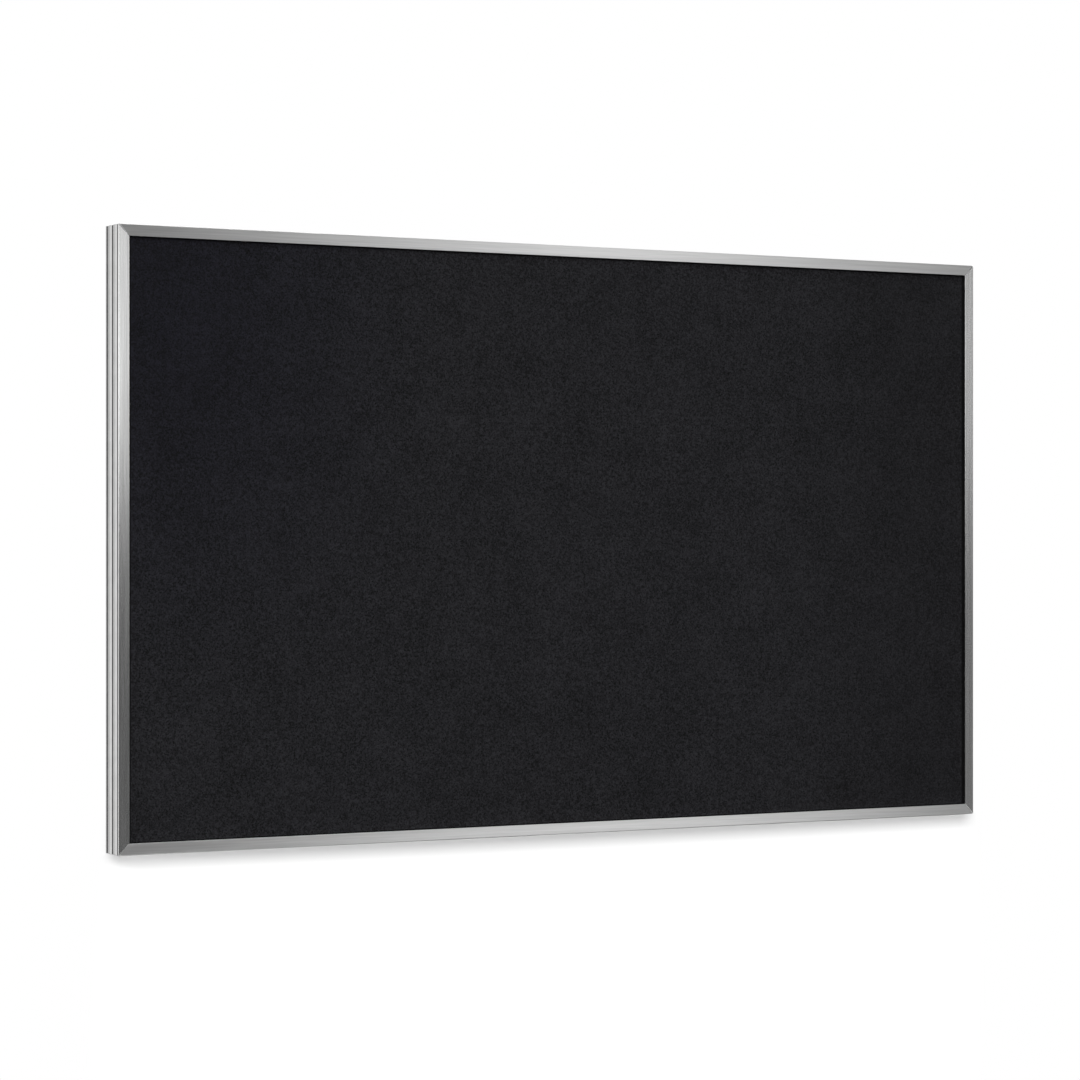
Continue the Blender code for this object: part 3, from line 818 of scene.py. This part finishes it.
class TACKBOARD_OT_corner_locks(bpy.types.Operator):
    """Give the corner plates, shims and set screws their finishes"""

    bl_idname = "tackboard.corner_locks"
    bl_label = "Corner locks"

    def execute(self, context):
        zinc = zinc_plate(context.scene.tackboard_finishes)
        oxide = black_oxide(context.scene.tackboard_finishes)
        for corner in CORNERS:
            give(f"corner_plate_{corner}", zinc)
            give(f"corner_shim_{corner}", zinc)
        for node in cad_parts:
            if node.startswith("set_screw_"):
                give(node, oxide)
        return {"FINISHED"}


class TACKBOARD_OT_hangers(bpy.types.Operator):
    """Give the wall hangers their zinc plating"""

    bl_idname = "tackboard.hangers"
    bl_label = "Wall hangers"

    def execute(self, context):
        zinc = zinc_plate(context.scene.tackboard_finishes)
        for side in HANGERS:
            give(f"wall_hanger_{side}", zinc)
        return {"FINISHED"}


def overhead_lamp(studio):
    """A long narrow lamp high over the board, reaching from its plane to a little behind it.

    It draws the short soft shadow that the board throws forward on the floor. Its strength is the
    light it gives the floor, where one is as bright as a white sky: a lamp of P watts at a height
    h sheds P / (pi h h) straight down, and white paint sends 1 / pi of that back.
    """
    height, width, reach = 12, 0.5, 3.0
    data = bpy.data.lights.new("overhead_lamp", "AREA")
    data.shape = "RECTANGLE"
    data.size = width
    data.size_y = reach
    data.energy = math.pi * math.pi * (height - CAD_LOW.z) ** 2 * studio.overhead
    lamp = bpy.data.objects.new("overhead_lamp", data)
    lamp.location = (BOARD_MIDDLE.x, reach / 2, height)
    lamp.visible_camera = False
    lamp.visible_glossy = False
    bpy.context.scene.collection.objects.link(lamp)


def room_light(studio):
    """The studio round the board, as zones of light.

    A zone lies between two values of a direction's x, y or z. In front, a dark gap under the
    horizon parts the lights from their mirror image in the floor. Behind, the backdrop is shaded
    straight behind the board, and a dark flag stands low to the board's right. The camera sees
    plain white everywhere, and so do metal and glass towards the backdrop, apart from the shade
    and the flag.
    """
    world = bpy.data.worlds.new("studio")
    bpy.context.scene.world = world
    sheet = NodeSheet(world)
    direction = sheet.add("ShaderNodeTexCoord", {}, {}, output="Generated")
    x, y, z = sheet.outputs("ShaderNodeSeparateXYZ", {"Vector": direction}, "XYZ")

    # In front: the walls, the lights before them and the gap under the horizon
    left_light = studio.left_wall + sheet.zone(z, *BAND_Z) * studio.band
    wall = sheet.ramp(x, *MIDDLE_WALL_X, left_light, studio.middle_wall)
    wall = wall - sheet.ramp(x, *LEFT_WALL_X, studio.left_wall - studio.far_wall, 0)
    wall = wall - sheet.ramp(x, *RIGHT_WALL_X) * (studio.middle_wall - studio.right_wall)
    strip = sheet.ramp(z, *STRIP_FADE_Z, studio.strip, STRIP_FADE * studio.strip)
    strip = strip * sheet.zone(x, *STRIP_X)
    softbox = sheet.ramp(z, *SOFTBOX_Z) * sheet.zone(x, *SOFTBOX_X) * studio.softbox
    key = sheet.zone(x, *KEY_X) * sheet.zone(z, *KEY_Z) * studio.key
    gap = sheet.zone(z, *GAP_Z)
    gap_light = sheet.ramp(x, *GAP_LIGHT_X, studio.left_gap, studio.right_gap)
    high = sheet.ramp(sheet.math("ABSOLUTE", z, 0), *CEILING_Z)
    ceiling = 1 - high * (1 - studio.ceiling)
    front = (wall + strip + softbox) * (1 - gap) * ceiling + gap * gap_light + key

    # Behind: the backdrop, its shade and the flag
    sideways = sheet.math("ABSOLUTE", x, 0)
    near, far = sheet.ramp(sideways, *NEAR_SHADE_X), sheet.ramp(sideways, *FAR_SHADE_X)
    lit = 1 - studio.shade * (1 - NEAR_SHARE * near - FAR_SHARE * far) * (1 - high)
    flag = sheet.ramp(x, *FLAG_X) * sheet.ramp(y, *FLAG_Y, 1, 0) * sheet.ramp(z, *FLAG_Z, 1, 0)
    lit = lit * (1 - studio.side_shade * flag)
    behind = sheet.ramp(y, *BEHIND_Y)
    around = front * (1 - behind) + behind * lit * ceiling * studio.backdrop
    camera, glossy, through = sheet.outputs("ShaderNodeLightPath", {}, SEEING_RAYS)
    share_seen = camera + (glossy + through) * behind
    seen = camera + (1 - camera) * lit
    background = sheet.tree.nodes["Background"]
    sheet.feed(background.inputs["Color"], WHITE)
    sheet.feed(background.inputs["Strength"], around + share_seen * (seen - around))


def floor_piece(studio):
    """A plain floor under the board: pale to the camera, and white past the board's shadow.

    It turns white past the board's two ends too, along a slanted line from each end, so that the
    shadow stays in front of the board. Metal looks through the floor to the studio's lower half.
    """
    reach, gap = 40, 0.0005
    white_from, white_to = 1.5, 3
    x, y = np.meshgrid([-reach, reach], [-reach, reach], indexing="ij")
    points = np.stack([x.ravel(), y.ravel(), np.full(4, CAD_LOW.z - gap)], axis=1)
    piece = solid("studio_floor", points, [[0, 2, 3, 1]], smooth_angle=math.radians(30))
    finish = Finish("studio_floor")
    seen = sum(finish.outputs("ShaderNodeLightPath", {}, SEEING_RAYS))
    x, y, _ = finish.outputs("ShaderNodeSeparateXYZ", {"Vector": finish.place()}, "XYZ")
    distance = finish.math("SQRT", x * x + y * y, 0)
    left_slant, left_edge = 0.4, (CAD_LOW.x - 0.033, CAD_LOW.x + 0.004)
    right_slant, right_edge = 0.74, (CAD_HIGH.x - 0.03, CAD_HIGH.x + 0.01)
    past_left = finish.ramp(x - left_slant * (y - FRONT), *left_edge, 1, 0)
    past_right = finish.ramp(x - right_slant * (y - FRONT), *right_edge)
    past_shadow = finish.ramp(distance, white_from, white_to)
    white = seen * finish.math("MAXIMUM", past_shadow, past_left + past_right)
    paint = finish.mix(seen, [studio.floor_paint] * 3, [studio.floor_seen] * 3)
    piece.data.materials.append(finish.set(
        Base_Color=finish.mix(white, paint, BLACK),
        Roughness=1,
        Specular_IOR_Level=0,
        Emission_Color=finish.mix(white, BLACK, WHITE),
        Emission_Strength=1,
    ))
    piece.visible_glossy = False
    piece.visible_shadow = False


def camera_piece(studio):
    """The camera, level with the board's middle and looking past it to the right."""
    data = bpy.data.cameras.new("camera")
    data.lens = studio.lens
    data.clip_end = 100
    camera = bpy.data.objects.new("camera", data)
    camera.location = (
        BOARD_MIDDLE.x - studio.camera_side,
        FRONT - studio.camera_reach,
        BOARD_MIDDLE.z - studio.camera_drop,
    )
    camera.rotation_euler = (math.pi / 2, 0, -studio.camera_heading)
    bpy.context.scene.collection.objects.link(camera)
    bpy.context.scene.camera = camera


class TACKBOARD_OT_studio(bpy.types.Operator):
    """Set the floor, the lamp, the studio's light and the camera"""

    bl_idname = "tackboard.studio"
    bl_label = "Studio"

    def execute(self, context):
        studio = context.scene.tackboard_studio
        context.scene.view_settings.view_transform = "Standard"
        floor_piece(studio)
        room_light(studio)
        overhead_lamp(studio)
        camera_piece(studio)
        return {"FINISHED"}


class TACKBOARD_PT_sidebar(bpy.types.Panel):
    """The add-on's place in the 3D view's sidebar"""

    bl_idname = "TACKBOARD_PT_sidebar"
    bl_label = "Tackboard"
    bl_space_type = "VIEW_3D"
    bl_region_type = "UI"
    bl_category = "Tackboard"

    def draw(self, context):
        for name in GROUPS:
            box = self.layout.box()
            group = getattr(context.scene, name)
            for key in group.__annotations__:
                box.prop(group, key)
        for operator in OPERATORS:
            self.layout.operator(operator.bl_idname)


GROUPS = {
    "tackboard_rail": RailSizes,
    "tackboard_sheet": SheetSizes,
    "tackboard_finishes": Finishes,
    "tackboard_studio": Studio,
}
OPERATORS = (
    TACKBOARD_OT_rails,
    TACKBOARD_OT_rubber,
    TACKBOARD_OT_backing,
    TACKBOARD_OT_corner_locks,
    TACKBOARD_OT_hangers,
    TACKBOARD_OT_studio,
)


def register():
    """Register the sizes, the operators and the panel."""
    for name, group in GROUPS.items():
        bpy.utils.register_class(group)
        setattr(bpy.types.Scene, name, PointerProperty(type=group))
    for item in (*OPERATORS, TACKBOARD_PT_sidebar):
        bpy.utils.register_class(item)


def unregister():
    """Take the panel, the operators and the sizes out again."""
    for item in (TACKBOARD_PT_sidebar, *reversed(OPERATORS)):
        bpy.utils.unregister_class(item)
    for name, group in GROUPS.items():
        delattr(bpy.types.Scene, name)
        bpy.utils.unregister_class(group)


def main():
    """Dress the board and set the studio."""
    register()
    bpy.ops.tackboard.rails()
    bpy.ops.tackboard.rubber()
    bpy.ops.tackboard.backing()
    bpy.ops.tackboard.corner_locks()
    bpy.ops.tackboard.hangers()
    bpy.ops.tackboard.studio()


if __name__ == "__main__":
    main()
